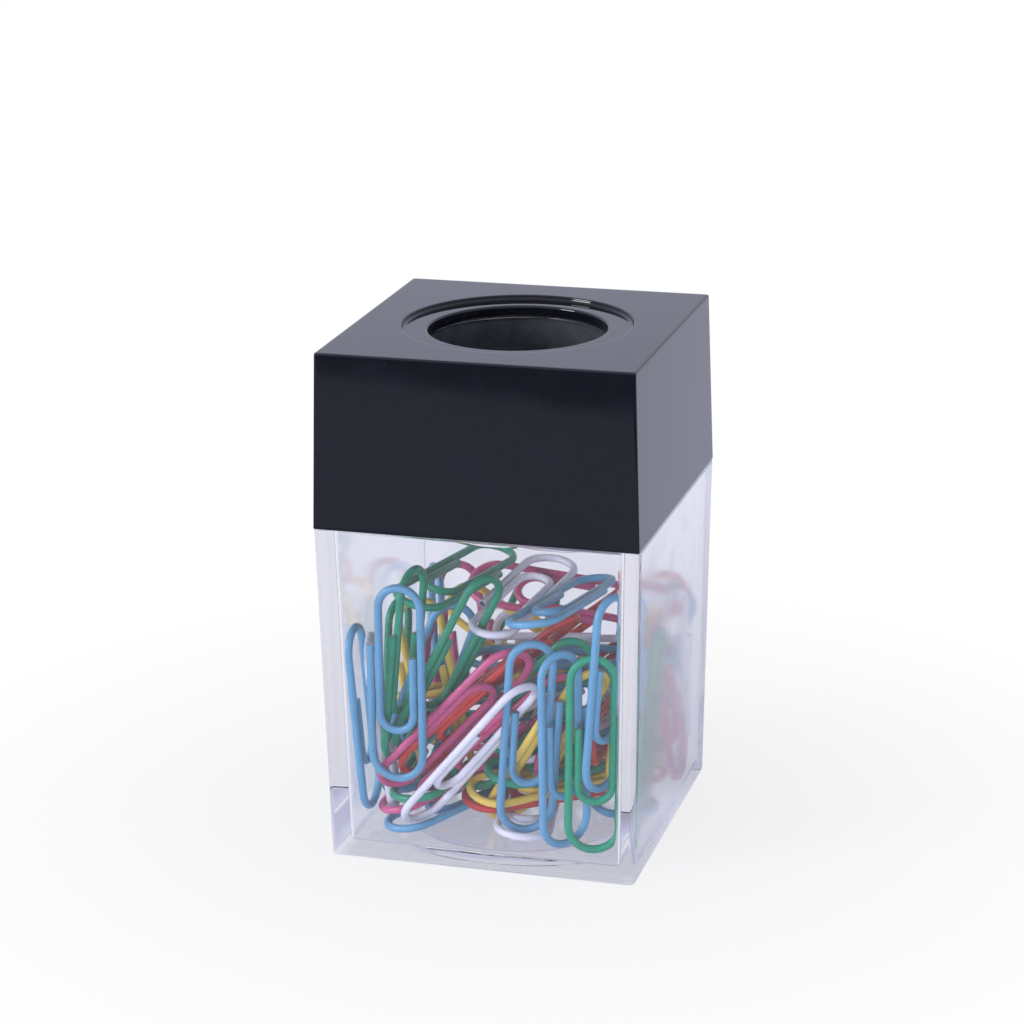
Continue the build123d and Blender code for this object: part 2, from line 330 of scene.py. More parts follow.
@dataclass(frozen=True)
class OpaqueFinish(Finish):
    """A finish that light doesn't pass, whose gloss and relief follow patterns of a real size."""

    roughness: Span = (0.3, 0.5)
    wear_span: Span = (0.3, 0.7)
    relief_mm: float = 0.01
    ior: float = 1.5
    metallic: float = 0.0

    def dress(self, tree: Tree, colour: Socket | Sequence, wear: Socket, relief: Socket) -> Socket:
        """Add the shader: wear spreads the roughness between its limits, and relief lifts the surface.

        Args:
            tree: The material's tree.
            colour: The colour, one for all of the surface or a pattern.
            wear: Pattern of the roughness.
            relief: Pattern of the height.

        Returns:
            The shader's output.
        """
        rough = add_node(tree, "MapRange", (wear, *self.wear_span, *self.roughness))
        lift = add_node(tree, "Bump", {"Height": relief, "Distance": self.relief_mm * MM})
        return add_node(tree, "BsdfPrincipled", {
            "Base Color": colour, "Roughness": rough["Result"], "IOR": self.ior,
            "Metallic": self.metallic, "Normal": lift["Normal"],
        })["BSDF"]


@dataclass(frozen=True)
class BlackPolystyrene(OpaqueFinish):
    """Polystyrene coloured blue-black in the melt and moulded in a polished tool.

    The colour is deep and even, the gloss is clean with faint waves of flow, and dust and hairline rubs from
    handling break it.
    """

    roughness: Span = (0.045, 0.075)
    wear_span: Span = (0.4, 0.7)
    relief_mm: float = 0.02
    ior: float = 1.45
    colour: str = "#101119"
    rubbed: str = "#2a2d3a"
    wave_mm: float = 11.0
    rub_mm: float = 5.0
    rub_span: Span = (0.5, 0.75)
    rub_share: Span = (0.0, 0.12)
    dust_mm: float = 1.6
    speck_mm: float = 0.09
    speck_core: float = 0.4

    def shade(self, tree: Tree) -> Socket:
        """Add the nodes: each cell of a Voronoi pattern has one speck of dust, and rubs are paler lumps.

        Args:
            tree: The material's tree.

        Returns:
            The shader's output.
        """
        place = add_node(tree, "TexCoord")["Object"]
        cells = {"Vector": place, "Scale": 1 / (self.dust_mm * MM)}
        middle = add_node(tree, "TexVoronoi", cells)["Distance"]
        reach = self.speck_mm / self.dust_mm
        dust = add_node(tree, "MapRange", (middle, self.speck_core * reach, reach, 1.0, 0.0))["Result"]
        wear = self.lumps(tree, self.rub_mm, detail=9.0)
        rub = add_node(tree, "MapRange", (wear, *self.rub_span, *self.rub_share))["Result"]
        worn = add_node(tree, "Math", (dust, rub), operation="MAXIMUM")["Value"]
        mixed = {0: worn, 6: linear(self.colour), 7: linear(self.rubbed)}
        colour = add_node(tree, "Mix", mixed, data_type="RGBA")[2]
        return self.dress(tree, colour, wear, self.lumps(tree, self.wave_mm, detail=1.5))


@dataclass(frozen=True)
class SinteredFerrite(OpaqueFinish):
    """Strontium ferrite, pressed from powder, sintered and ground on its flats.

    It is a dull blue-grey ceramic, mottled by its grains, with no gloss.
    """

    roughness: Span = (0.6, 0.85)
    relief_mm: float = 0.03
    dark: str = "#262b32"
    pale: str = "#3a4147"
    grain_mm: float = 0.35
    patch_mm: float = 3.15
    mottle_span: Span = (0.16, 0.36)

    def shade(self, tree: Tree) -> Socket:
        """Add the nodes: fine grains times coarse patches give the share of the paler grey.

        Args:
            tree: The material's tree.

        Returns:
            The shader's output.
        """
        grain = self.lumps(tree, self.grain_mm, detail=5.0)
        patch = self.lumps(tree, self.patch_mm, detail=2.0)
        mottle = add_node(tree, "Math", (grain, patch), operation="MULTIPLY")["Value"]
        share = add_node(tree, "MapRange", (mottle, *self.mottle_span))["Result"]
        mixed = {0: share, 6: linear(self.dark), 7: linear(self.pale)}
        colour = add_node(tree, "Mix", mixed, data_type="RGBA")[2]
        return self.dress(tree, colour, grain, grain)


@dataclass(frozen=True)
class CuredGlue(OpaqueFinish):
    """Hot-melt glue, squeezed out thin and set.

    It is pale, waxy and a little uneven, and the hollows between its lumps are darker as painted shade.
    """

    roughness: Span = (0.35, 0.55)
    relief_mm: float = 0.05
    colour: str = "#c9c8c6"
    shadow: str = "#8f8f93"
    lump_mm: float = 1.2

    def shade(self, tree: Tree) -> Socket:
        """Add the nodes: the lumps set the colour, the gloss and the relief.

        Args:
            tree: The material's tree.

        Returns:
            The shader's output.
        """
        uneven = self.lumps(tree, self.lump_mm, detail=4.0)
        # Painted shade: the low parts of the lumps, which the bump sinks, take the darker shadow colour
        share = add_node(tree, "MapRange", (uneven, *self.wear_span))["Result"]
        mixed = {0: share, 6: linear(self.shadow), 7: linear(self.colour)}
        colour = add_node(tree, "Mix", mixed, data_type="RGBA")[2]
        return self.dress(tree, colour, uneven, uneven)


@dataclass(frozen=True)
class VinylCoat(OpaqueFinish):
    """Soft vinyl, dip coated over steel wire.

    It is a full, slightly uneven colour with a soft shine and a fine orange peel. Each clip's tone, an
    attribute of its mesh, sets it a little lighter or darker.
    """

    roughness: Span = (0.26, 0.4)
    relief_mm: float = 0.006
    ior: float = 1.53
    colour: str = "#ffffff"
    mottle_mm: float = 3.0
    mottle: Span = (0.93, 1.05)
    peel_mm: float = 0.6

    def shade(self, tree: Tree) -> Socket:
        """Add the nodes: the colour's value is the clip's tone times a faint mottle.

        Args:
            tree: The material's tree.

        Returns:
            The shader's output.
        """
        tone = add_node(tree, "Attribute", attribute_name=Clip.tone_name)["Fac"]
        mottles = (self.lumps(tree, self.mottle_mm, detail=4.0), *self.wear_span, *self.mottle)
        mottle = add_node(tree, "MapRange", mottles)["Result"]
        value = add_node(tree, "Math", (mottle, tone), operation="MULTIPLY")["Value"]
        inputs = {"Color": linear(self.colour), "Value": value}
        colour = add_node(tree, "HueSaturation", inputs)["Color"]
        peel = self.lumps(tree, self.peel_mm, detail=2.0)
        return self.dress(tree, colour, peel, peel)


@dataclass(frozen=True)
class CutSteel(OpaqueFinish):
    """Bare low-carbon steel wire, sheared off.

    The cut is bright, with the drag lines of the cutter.
    """

    roughness: Span = (0.25, 0.5)
    metallic: float = 1.0
    colour: str = "#b9b6b2"
    line_mm: float = 0.15

    def shade(self, tree: Tree) -> Socket:
        """Add the nodes and return the shader's output."""
        lines = self.lumps(tree, self.line_mm, detail=2.0)
        return self.dress(tree, linear(self.colour), lines, lines)


# Making a piece of the holder
@dataclass(frozen=True)
class Place:
    """What a piece stands for in the CAD model."""

    node: str
    body: str
    slot: str


def make_piece(place: Place, surface: Surface, finishes: list[Finish],
               finish_of_ring: np.ndarray | None = None) -> bpy.types.Object:
    """Make a finished piece from a closed surface and put it in place of its CAD node.

    Args:
        place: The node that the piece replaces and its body.
        surface: The surface, in millimetres.
        finishes: The finishes on the piece.
        finish_of_ring: Number of the finish of each face's ring, the first fan's last. All have the first
            finish if this is left out.

    Returns:
        The piece.
    """
    points, faces, rings = surface
    if enclosed(points, faces) < 0:
        faces = [face[::-1] for face in faces]
    mesh = bpy.data.meshes.new(place.node + "_surface")
    mesh.from_pydata((points * MM).tolist(), [], faces)
    mesh.polygons.foreach_set("use_smooth", np.ones(len(faces), dtype=bool))
    for finish in finishes:
        mesh.materials.append(finish.material())
    if finish_of_ring is not None:
        mesh.polygons.foreach_set("material_index", finish_of_ring[rings].astype(np.int32))
    mesh.set_sharp_from_angle(angle=SMOOTH_ANGLE)
    mesh.validate()
    piece = bpy.data.objects.new(place.node + "_finished", mesh)
    bpy.context.scene.collection.objects.link(piece)
    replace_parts(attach(piece, place.body), place.node)
    log.info("%s: %d faces", piece.name, len(faces))
    return piece


# The holder
@dataclass
class ClearBox:
    """The clear box: one skin from the middle of the foot, up the outside, over the rim and down the pocket.

    Beside each rounded edge, a guard row keeps the flat flat to the eye. The pocket's guards are how far its
    flat wall starts above the floor and ends below the rim. A fan is a share of the ring round it.
    """

    place: ClassVar[Place] = Place("clear_box", "box", "clear_plastic")

    width: float = 44.0
    shoulder_height: float = 46.7
    draft: float = 1.15
    wall: float = 2.3
    floor: float = 2.0
    corner: float = 0.7
    pocket_corner: float = 0.8
    foot_round: float = 0.5
    foot_guard: float = 0.2
    pocket_round: float = 0.5
    pocket_guards: Span = (1.2, 0.6)
    shoulder_round: float = 0.3
    neck_half: float = 20.9
    neck_height: float = 6.0
    neck_draft: float = 1.5
    neck_foot: Span = (0.1, 0.02)
    rim_round: float = 0.25
    recess_radius: float = 16.5
    recess_depth: float = 0.6
    recess_round: float = 0.2
    gate_radius: float = 1.2
    gate_height: float = 0.3
    gate_fan: float = 0.4
    floor_fan: float = 0.3

    def outer_half(self, height: float) -> float:
        """Half the outer width at a height below the shoulder."""
        return self.width / 2 + (height - self.shoulder_height) * math.tan(math.radians(self.draft))

    def pocket_half(self, height: float) -> float:
        """Half the pocket's width at a height."""
        return self.outer_half(height) - self.wall

    def rows(self) -> np.ndarray:
        """Rows of the skin: half width, corner radius and height of its rings, in order.

        Returns:
            The rows.
        """
        gate_end = self.recess_depth - self.gate_height
        recess_edge = self.recess_radius + self.recess_round
        foot_in = self.outer_half(self.foot_round) - self.foot_round
        wall_low = 2 * self.foot_round
        wall_high = self.shoulder_height - 2 * self.shoulder_round
        shoulder_in = self.width / 2 - self.shoulder_round
        shoulder_arc = self.shoulder_height - self.shoulder_round
        foot_out, foot_up = self.neck_foot
        rim = self.shoulder_height + self.neck_height
        rim_arc = rim - self.rim_round
        rim_low = rim - 2 * self.rim_round
        neck_top = self.neck_half - self.neck_height * math.tan(math.radians(self.neck_draft))
        neck_in = neck_top - self.rim_round
        rim_in = self.pocket_half(rim) + self.rim_round
        pocket_low, pocket_high = self.floor + self.pocket_guards[0], rim - self.pocket_guards[1]
        pocket_arc = self.floor + self.pocket_round
        floor_in = self.pocket_half(self.floor) - self.pocket_round
        return np.vstack([
            (self.gate_fan * self.gate_radius, ROUND, gate_end),
            (self.gate_radius, ROUND, gate_end),
            (self.gate_radius, ROUND, self.recess_depth),
            (self.recess_radius / 2, ROUND, self.recess_depth),
            (self.recess_radius, ROUND, self.recess_depth),
            edge_rows(recess_edge, self.recess_round, self.recess_round, (180, 270), ROUND),
            (recess_edge + self.foot_guard, ROUND, 0),
            (foot_in - self.foot_guard, self.corner, 0),
            edge_rows(foot_in, self.foot_round, self.foot_round, (-90, 0), self.corner),
            (self.outer_half(wall_low), self.corner, wall_low),
            (self.outer_half(wall_high), self.corner, wall_high),
            edge_rows(shoulder_in, shoulder_arc, self.shoulder_round, (0, 90), self.corner),
            (self.neck_half + foot_out, self.pocket_corner, self.shoulder_height),
            (self.neck_half, self.pocket_corner, self.shoulder_height + foot_up),
            (neck_top, self.pocket_corner, rim_low),
            edge_rows(neck_in, rim_arc, self.rim_round, (0, 90), self.pocket_corner),
            edge_rows(rim_in, rim_arc, self.rim_round, (90, 180), self.pocket_corner),
            (self.pocket_half(pocket_high), self.pocket_corner, pocket_high),
            (self.pocket_half(pocket_low), self.pocket_corner, pocket_low),
            edge_rows(floor_in, pocket_arc, self.pocket_round, (0, -90), self.pocket_corner),
            (floor_in - self.pocket_round, self.pocket_corner, self.floor),
            (self.floor_fan * floor_in, ROUND, self.floor),
        ])

    def build(self) -> bpy.types.Object:
        """Make the box in its finish."""
        surface = skin(moulded_rings(self.rows()), loop=False)
        return make_piece(self.place, surface, [ClearPolystyrene("clear_polystyrene_moulded")])


@dataclass
class Cap:
    """The cap: one skin up the outside, in over the plate to the mouth, and back along the inside.

    Beside each rounded edge, a guard row keeps the flat flat to the eye. The wall's guards are how far its
    flat starts above the bottom and ends below the top.
    """

    place: ClassVar[Place] = Place("cap", "cap", "black_plastic")

    width: float = 44.0
    bottom: float = 46.7
    height: float = 23.7
    draft: float = 1.5
    wall: float = 1.8
    lip: float = 1.0
    lip_height: float = 6.4
    plate: float = 2.3
    corner: float = 0.3
    inner_corner: float = 0.8
    edge: float = 0.25
    lip_edge: float = 0.12
    wall_guards: Span = (0.5, 0.7)
    top_guard: float = 0.4
    mouth_radius: float = 12.0
    mouth_round: float = 0.3
    step_radius: float = 15.5
    step_depth: float = 0.65
    step_round: float = 0.2
    step_cove: float = 0.4
    collar_in: float = 17.15
    collar_out: float = 18.35
    collar_height: float = 3.0

    def drawn_in(self, half: float, height: float) -> float:
        """Half width at a height of a wall that is this half wide at the bottom."""
        return half - (height - self.bottom) * math.tan(math.radians(self.draft))

    def rows(self) -> np.ndarray:
        """Rows of the skin: half width, corner radius and height of its rings, in order.

        Returns:
            The rows.
        """
        half = self.width / 2
        lip_arc = self.bottom + self.lip_edge
        top = self.bottom + self.height
        edge_arc = top - self.edge
        wall_low, wall_high = self.bottom + self.wall_guards[0], top - self.wall_guards[1]
        edge_in = self.drawn_in(half, edge_arc) - self.edge
        step_edge = self.step_radius + self.step_round
        step_floor = top - self.step_depth
        cove_in = self.step_radius - self.step_cove
        mouth_in = self.mouth_radius + self.mouth_round
        under = top - self.plate
        collar_end = under - self.collar_height
        inner = half - self.wall
        lip_in = half - self.lip
        ledge = self.bottom + self.lip_height
        return np.vstack([
            edge_rows(half - self.lip_edge, lip_arc, self.lip_edge, (-90, 0), self.corner),
            (self.drawn_in(half, wall_low), self.corner, wall_low),
            (self.drawn_in(half, wall_high), self.corner, wall_high),
            edge_rows(edge_in, edge_arc, self.edge, (0, 90), self.corner),
            (edge_in - self.top_guard, self.corner, top),
            (step_edge + self.top_guard, ROUND, top),
            edge_rows(step_edge, top - self.step_round, self.step_round, (90, 180), ROUND),
            edge_rows(cove_in, step_floor + self.step_cove, self.step_cove, (0, -90), ROUND),
            (cove_in - self.step_round, ROUND, step_floor),
            (mouth_in + self.mouth_round, ROUND, step_floor),
            edge_rows(mouth_in, step_floor - self.mouth_round, self.mouth_round, (90, 180), ROUND),
            edge_rows(mouth_in, under + self.mouth_round, self.mouth_round, (180, 270), ROUND),
            (self.collar_in, ROUND, under),
            (self.collar_in, ROUND, collar_end),
            (self.collar_out, ROUND, collar_end),
            (self.collar_out, ROUND, under),
            (self.drawn_in(inner, under), self.inner_corner, under),
            (self.drawn_in(inner, ledge), self.inner_corner, ledge),
            (self.drawn_in(lip_in, ledge), self.inner_corner, ledge),
            (lip_in, self.inner_corner, self.bottom),
        ])

    def build(self) -> bpy.types.Object:
        """Make the cap in its finish."""
        surface = skin(moulded_rings(self.rows()), loop=True)
        return make_piece(self.place, surface, [BlackPolystyrene("black_polystyrene_moulded")])


@dataclass(frozen=True)
class Ripple:
    """An uneven line round a ring: two waves multiplied, and a share of a finer one.

    Each wave has a count round the ring and a phase in radians.
    """

    first: Span
    second: Span
    fine: float
    fine_share: float

    def at(self, bearing: np.ndarray) -> np.ndarray:
        """Height of the line at each bearing."""
        waves = [np.sin(count * bearing + phase) for count, phase in (self.first, self.second)]
        return waves[0] * waves[1] + self.fine_share * np.sin(self.fine * bearing)


@dataclass
class RingMagnet:
    """The ring magnet and its glue: sections carried round the mouth's axis."""

    chips: ClassVar[Ripple] = Ripple((23, 1.0), (7, 0.0), fine=41, fine_share=2 / 3)
    runs: ClassVar[Ripple] = Ripple((5, 0.4), (3, 2.0), fine=17, fine_share=0.4)

    radius: float = 17.0
    bore: float = 12.4
    bottom: float = 63.35
    top: float = 67.85
    chamfer: float = 0.4
    chip_depth: float = 0.03
    glue_top: float = 68.1
    glue_in: float = 12.62
    glue_out: float = 16.4
    glue_run: float = 0.45
    around: int = 160

    def bearings(self) -> np.ndarray:
        """Bearings of the places round a ring."""
        return np.linspace(0, 2 * math.pi, self.around, endpoint=False)

    def turned(self, out: np.ndarray, up: np.ndarray) -> np.ndarray:
        """Carry a section round the axis: each point stays at its distance and height.

        Args:
            out: Distance from the axis, by point of the section and bearing.
            up: Height, by point of the section.

        Returns:
            The points, by point of the section, bearing and axis.
        """
        bearing = self.bearings()
        level = np.broadcast_to(up[:, None], out.shape)
        return np.stack([out * np.cos(bearing), out * np.sin(bearing), level], axis=-1)

    def build_magnet(self) -> bpy.types.Object:
        """Make the magnet: an oblong section with broken corners, its edges a little uneven from pressing.

        Returns:
            The magnet.
        """
        cut = self.chamfer
        out = np.array([self.bore + cut, self.bore, self.bore, self.bore + cut,
                        self.radius - cut, self.radius, self.radius, self.radius - cut])
        up = np.array([self.bottom, self.bottom + cut, self.top - cut, self.top,
                       self.top, self.top - cut, self.bottom + cut, self.bottom])
        inwards = np.array([1, 0, 0, 1, -1, 0, 0, -1])
        uneven = self.chip_depth * np.abs(self.chips.at(self.bearings()))
        surface = skin(self.turned(out[:, None] + inwards[:, None] * uneven, up), loop=True)
        finish = SinteredFerrite("sintered_ferrite")
        return make_piece(Place("ring_magnet", "cap", "ferrite"), surface, [finish])

    def build_glue(self) -> bpy.types.Object:
        """Make the glue: a thin ring whose inner edge bulges and runs in and out like a squeezed bead.

        Returns:
            The glue.
        """
        run = 0.5 + 0.5 * self.runs.at(self.bearings())
        edge = self.glue_in + self.glue_run * np.clip(run, 0, 1)
        half = (self.glue_top - self.top) / 2
        turn = np.radians(np.linspace(90, 270, ARC_RINGS))
        bead = edge + half * np.cos(turn)[:, None]
        rim = np.full((2, self.around), self.glue_out)
        up = np.concatenate([self.top + half + half * np.sin(turn), (self.top, self.glue_top)])
        surface = skin(self.turned(np.vstack([bead, rim]), up), loop=True)
        finish = CuredGlue("hot_melt_glue")
        return make_piece(Place("magnet_adhesive", "cap", "adhesive"), surface, [finish])


@dataclass
class Clip:
    """A wire clip: a round section carried along three half turns and the legs between them.

    Each cut ring has its distance from the wire's end and how far it lies below the coat's surface.
    """

    tone_name: ClassVar[str] = "tone"
    cut_rings: ClassVar[tuple[Span, ...]] = ((0.0, 0.09), (0.03, 0.02), (0.1, 0.0))

    wire: float = 1.1
    core: float = 0.8
    length: float = 28.3
    width: float = 8.15
    leg_gap: float = 0.1
    inner_bend_height: float = 6.9
    outer_end_height: float = 19.5
    inner_end_height: float = 18.0
    bend_steps: int = 12
    sides: int = 14

    def half_turn(self, centre: Span, radius: float, start: float) -> tuple[np.ndarray, np.ndarray]:
        """A half turn to the left about a centre.

        Args:
            centre: Centre of the turn.
            radius: Radius of the wire's centre line.
            start: Bearing at which the turn starts, in degrees.

        Returns:
            Points on the arc and the wire's direction at each: the bearing turned a quarter to the left.
        """
        bearing = np.radians(start + np.linspace(0, 180, self.bend_steps + 1))
        outward = np.column_stack([np.cos(bearing), np.sin(bearing)])
        return np.array(centre) + radius * outward, np.column_stack([-outward[:, 1], outward[:, 0]])

    def centre_line(self) -> tuple[np.ndarray, np.ndarray]:
        """The wire's centre line in the clip's own plane, from the outer leg's end to the inner leg's end.

        Returns:
            Points, with the big bend at the bottom, and the wire's direction at each.
        """
        middle = self.length / 2
        big = (self.width - self.wire) / 2
        inner = big - self.wire - self.leg_gap
        top = (big + inner) / 2
        turns = [
            self.half_turn((0, big + self.wire / 2 - middle), big, 180),
            self.half_turn((big - top, middle - top - self.wire / 2), top, 0),
            self.half_turn((0, self.inner_bend_height + inner + self.wire / 2 - middle), inner, 180),
        ]
        first = (-big, self.outer_end_height - middle)
        last = (inner, self.inner_end_height - middle)
        points = np.vstack([first, *(turn[0] for turn in turns), last])
        ways = np.vstack([(0, -1), *(turn[1] for turn in turns), (0, 1)])
        return points, ways

    def rings(self) -> np.ndarray:
        """Rings of the wire: circles across its direction, smaller at the ends where the coat is cut.

        Returns:
            The points in the clip's own frame, by ring, place on the ring and axis.
        """
        line, way = self.centre_line()
        radius = self.wire / 2
        cut = np.array([(0.0, radius - self.core / 2), *self.cut_rings])
        first = line[0] + cut[:, :1] * way[0]
        last = line[-1] - cut[::-1, :1] * way[-1]
        points = np.vstack([first, line[1:-1], last])
        ways = np.vstack([np.tile(way[0], (len(cut), 1)), way[1:-1], np.tile(way[-1], (len(cut), 1))])
        below = np.concatenate([cut[:, 1], np.zeros(len(line) - 2), cut[::-1, 1]])
        radii = (radius - below)[:, None, None]
        bearing = np.linspace(0, 2 * math.pi, self.sides, endpoint=False)[None, :, None]
        left = np.column_stack([-ways[:, 1], ways[:, 0], np.zeros(len(ways))])[:, None, :]
        spots = np.column_stack([points, np.zeros(len(points))])[:, None, :]
        return spots + radii * (np.cos(bearing) * left + np.sin(bearing) * np.array([0, 0, 1]))

    def build(self, node: str, tone: float) -> bpy.types.Object:
        """Make a clip where its CAD node lies.

        Args:
            node: Name of the node, such as clip_blue_1.
            tone: How light its coat is.

        Returns:
            The clip.
        """
        colour = VinylColour[node.split("_")[1].upper()]
        turn, shift = lie_of(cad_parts[node], self.centre_line()[0])
        grid = self.rings() @ turn.T + shift
        slot = "vinyl_" + colour.name.lower()
        finishes = [VinylCoat(slot + "_coat", colour=colour.value), CutSteel("cut_steel_wire")]
        finish_of_ring = np.zeros(len(grid) + 1, dtype=int)
        finish_of_ring[[-1, len(grid) - 1]] = 1
        piece = make_piece(Place(node, "box", slot), skin(grid, loop=False), finishes, finish_of_ring)
        mark = piece.data.attributes.new(self.tone_name, "FLOAT", "POINT")
        mark.data.foreach_set("value", np.full(len(piece.data.vertices), tone, dtype=np.float32))
        return piece


def principal_frame(points: np.ndarray, weights: np.ndarray) -> tuple[np.ndarray, np.ndarray]:
    """Middle and axes of a cloud of weighted points.

    The axes are those along which the cloud spreads most, next and least. The first two point the way in
    which the sum of the cubes along them is positive, and the third makes them right-handed.

    Args:
        points: The points, by point and axis.
        weights: Their weights.

    Returns:
        The middle, and the axes as rows.
    """
    weights = weights / weights.sum()
    middle = weights @ points
    arms = points - middle
    axes = np.linalg.eigh((arms * weights[:, None]).T @ arms)[1].T[::-1][:2]
    axes = axes * np.sign(weights @ (arms @ axes.T) ** 3)[:, None]
    return middle, np.vstack([axes, np.cross(*axes)])


def lie_of(node: bpy.types.Object, line: np.ndarray) -> tuple[np.ndarray, np.ndarray]:
    """How a clip's solid lies, worked out from how its surface is spread.

    A wire's surface is spread as its centre line is, so the principal axes of the two are the same lines in
    the clip. Each triangle counts at the middles of its sides, which gives its spread exactly.

    Args:
        node: The solid.
        line: The clip's centre line in its own plane.

    Returns:
        The turn from the clip's own frame, and then the shift in millimetres.
    """
    node.data.calc_loop_triangles()
    corners = np.empty(len(node.data.vertices) * 3, dtype=np.float32)
    node.data.vertices.foreach_get("co", corners)
    numbers = np.empty(len(node.data.loop_triangles) * 3, dtype=np.int32)
    node.data.loop_triangles.foreach_get("vertices", numbers)
    triangles = corners.reshape(-1, 3)[numbers.reshape(-1, 3)].astype(float) / MM
    sides = (triangles + np.roll(triangles, 1, axis=1)) / 2
    first, second = triangles[:, 1] - triangles[:, 0], triangles[:, 2] - triangles[:, 0]
    area = np.linalg.norm(np.cross(first, second), axis=1)
    found, found_axes = principal_frame(sides.reshape(-1, 3), np.repeat(area, 3))
    runs = np.linalg.norm(np.diff(line, axis=0), axis=1)
    steps = ((np.arange(RUN_SAMPLES) + 0.5) / RUN_SAMPLES)[:, None, None]
    along = (line[:-1] * (1 - steps) + line[1:] * steps).reshape(-1, 2)
    flat = np.column_stack([along, np.zeros(len(along))])
    own, own_axes = principal_frame(flat, np.tile(runs, RUN_SAMPLES))
    turn = found_axes.T @ own_axes
    return turn, found - turn @ own


@dataclass
class Heap:
    """All the clips in the box."""

    clip: Clip
    seed: int = 22
    tone_spread: float = 0.05

    def build(self) -> None:
        """Make every clip that the frame has, each with its own tone."""
        nodes = sorted(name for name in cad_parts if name.startswith("clip_"))
        tones = np.random.default_rng(self.seed).normal(1.0, self.tone_spread, len(nodes))
        for node, tone in zip(nodes, tones):
            self.clip.build(node, float(tone))


# The studio
def ray_kinds(tree: Tree) -> tuple[Socket, Socket]:
    """Add nodes that tell what a ray is for.

    Args:
        tree: The tree that gets the nodes.

    Returns:
        1 for rays that show the surroundings straight or through the clear walls, and 1 for mirrored rays.
    """
    path = add_node(tree, "LightPath")
    views = (path["Is Camera Ray"], path["Is Transmission Ray"])
    seen = add_node(tree, "Math", views, operation="MAXIMUM")["Value"]
    return seen, path["Is Glossy Ray"]


def plan_way(spot: Spot) -> Span:
    """Unit vector in plan from the holder's axis to a spot."""
    reach = math.hypot(spot[0], spot[1])
    return spot[0] / reach, spot[1] / reach


@dataclass(frozen=True)
class WhitePaper(Finish):
    """Plain white paper, matt and even.

    It glows white where it is seen or shows through the clear walls, and keeps the holder's faint shadow. In
    mirrors it glows cooler, with painted shade that dims it in front of the holder and a painted shadow of
    the holder close by on the lee side of the key lamp. A painted shadow under the foot dims it a little to
    all rays. Reaches are in metres.
    """

    toward: Span
    lee: Span
    matt_white: str = "#f2f3f8"
    seen_white: str = "#ffffff"
    mirrored_white: str = "#dfe2f9"
    shadow_reach: Span = (0.024, 0.1)
    shadow_open: Span = (0.8, 1.0)
    # Painted shadow under the foot, which dims the paper's glow a little for all rays
    foot_reach: Span = (0.019, 0.0212)
    foot_level: float = 0.75
    # Painted shade in mirrored rays: dimmer in front of the holder, and a painted shadow of the holder on the
    # lee side
    near_reach: Span = (0.0, 0.05)
    painted_near_shade_level: float = 0.3
    far_reach: Span = (0.125, 0.15)
    painted_far_shade_level: float = 0.6
    lee_edge: Span = (0.02, 0.03)
    lee_reach: Span = (0.03, 0.15)
    painted_lee_shadow_level: float = 0.55

    def foot_shade(self, tree: Tree, place: Socket) -> Socket:
        """Add a painted shadow under the foot, by the larger distance to the holder's two middle planes.

        Args:
            tree: The material's tree.
            place: Place on the paper.

        Returns:
            The level that is left of the light.
        """
        sides = add_node(tree, "VectorMath", (place,), operation="ABSOLUTE")["Vector"]
        side = add_node(tree, "SeparateXYZ", (sides,))
        aside = add_node(tree, "Math", (side["X"], side["Y"]), operation="MAXIMUM")["Value"]
        return add_node(tree, "MapRange", (aside, *self.foot_reach, self.foot_level, 1.0))["Result"]

    def painted_mirror_shade_level(self, tree: Tree, place: Socket, away: Socket) -> Socket:
        """Add painted shade in mirrors: a fall and a rise towards the camera, times a painted lee-side
        shadow.

        Args:
            tree: The material's tree.
            place: Place on the paper.
            away: Distance from the holder's axis.

        Returns:
            The level.
        """
        front = (place, (*self.toward, 0.0))
        ahead = add_node(tree, "VectorMath", front, operation="DOT_PRODUCT")["Value"]
        near = add_node(tree, "MapRange", (ahead, *self.near_reach, 1.0, self.painted_near_shade_level))["Result"]
        rises = (ahead, *self.far_reach, 0.0, self.painted_far_shade_level - self.painted_near_shade_level)
        far = add_node(tree, "MapRange", rises)["Result"]
        open_level = add_node(tree, "Math", (near, far), operation="ADD")["Value"]
        back = (place, (*self.lee, 0.0))
        behind = add_node(tree, "VectorMath", back, operation="DOT_PRODUCT")["Value"]
        shade = add_node(tree, "MapRange", (behind, *self.lee_edge, 1.0, self.painted_lee_shadow_level))["Result"]
        close = add_node(tree, "MapRange", (away, *self.lee_reach, shade, 1.0))["Result"]
        return add_node(tree, "Math", (open_level, close), operation="MULTIPLY")["Value"]

    def shade(self, tree: Tree) -> Socket:
        """Add the nodes: a glow in seen and mirrored rays, and matt paper for light and shadow.

        Args:
            tree: The material's tree.

        Returns:
            The shader's output.
        """
        seen, mirrored = ray_kinds(tree)
        place = add_node(tree, "TexCoord")["Object"]
        away = add_node(tree, "VectorMath", (place,), operation="LENGTH")["Value"]
        open_share = add_node(tree, "MapRange", (away, *self.shadow_reach, *self.shadow_open))["Result"]
        share = add_node(tree, "Mix", {0: seen, 2: mirrored, 3: open_share})[0]
        # Mirrored rays get painted shade in front and on the lee side, and all of the glow gets a painted
        # shadow under the foot
        painted_mirror_level = self.painted_mirror_shade_level(tree, place, away)
        level = add_node(tree, "Mix", {0: seen, 2: painted_mirror_level, 3: 1.0})[0]
        foot = self.foot_shade(tree, place)
        strength = add_node(tree, "Math", (level, foot), operation="MULTIPLY")["Value"]
        tints = {0: seen, 6: linear(self.mirrored_white), 7: linear(self.seen_white)}
        tint = add_node(tree, "Mix", tints, data_type="RGBA")[2]
        glow = add_node(tree, "Emission", {"Color": tint, "Strength": strength})
        matt = add_node(tree, "BsdfDiffuse", {"Color": linear(self.matt_white)})
        return add_node(tree, "MixShader", (share, matt["BSDF"], glow["Emission"]))["Shader"]


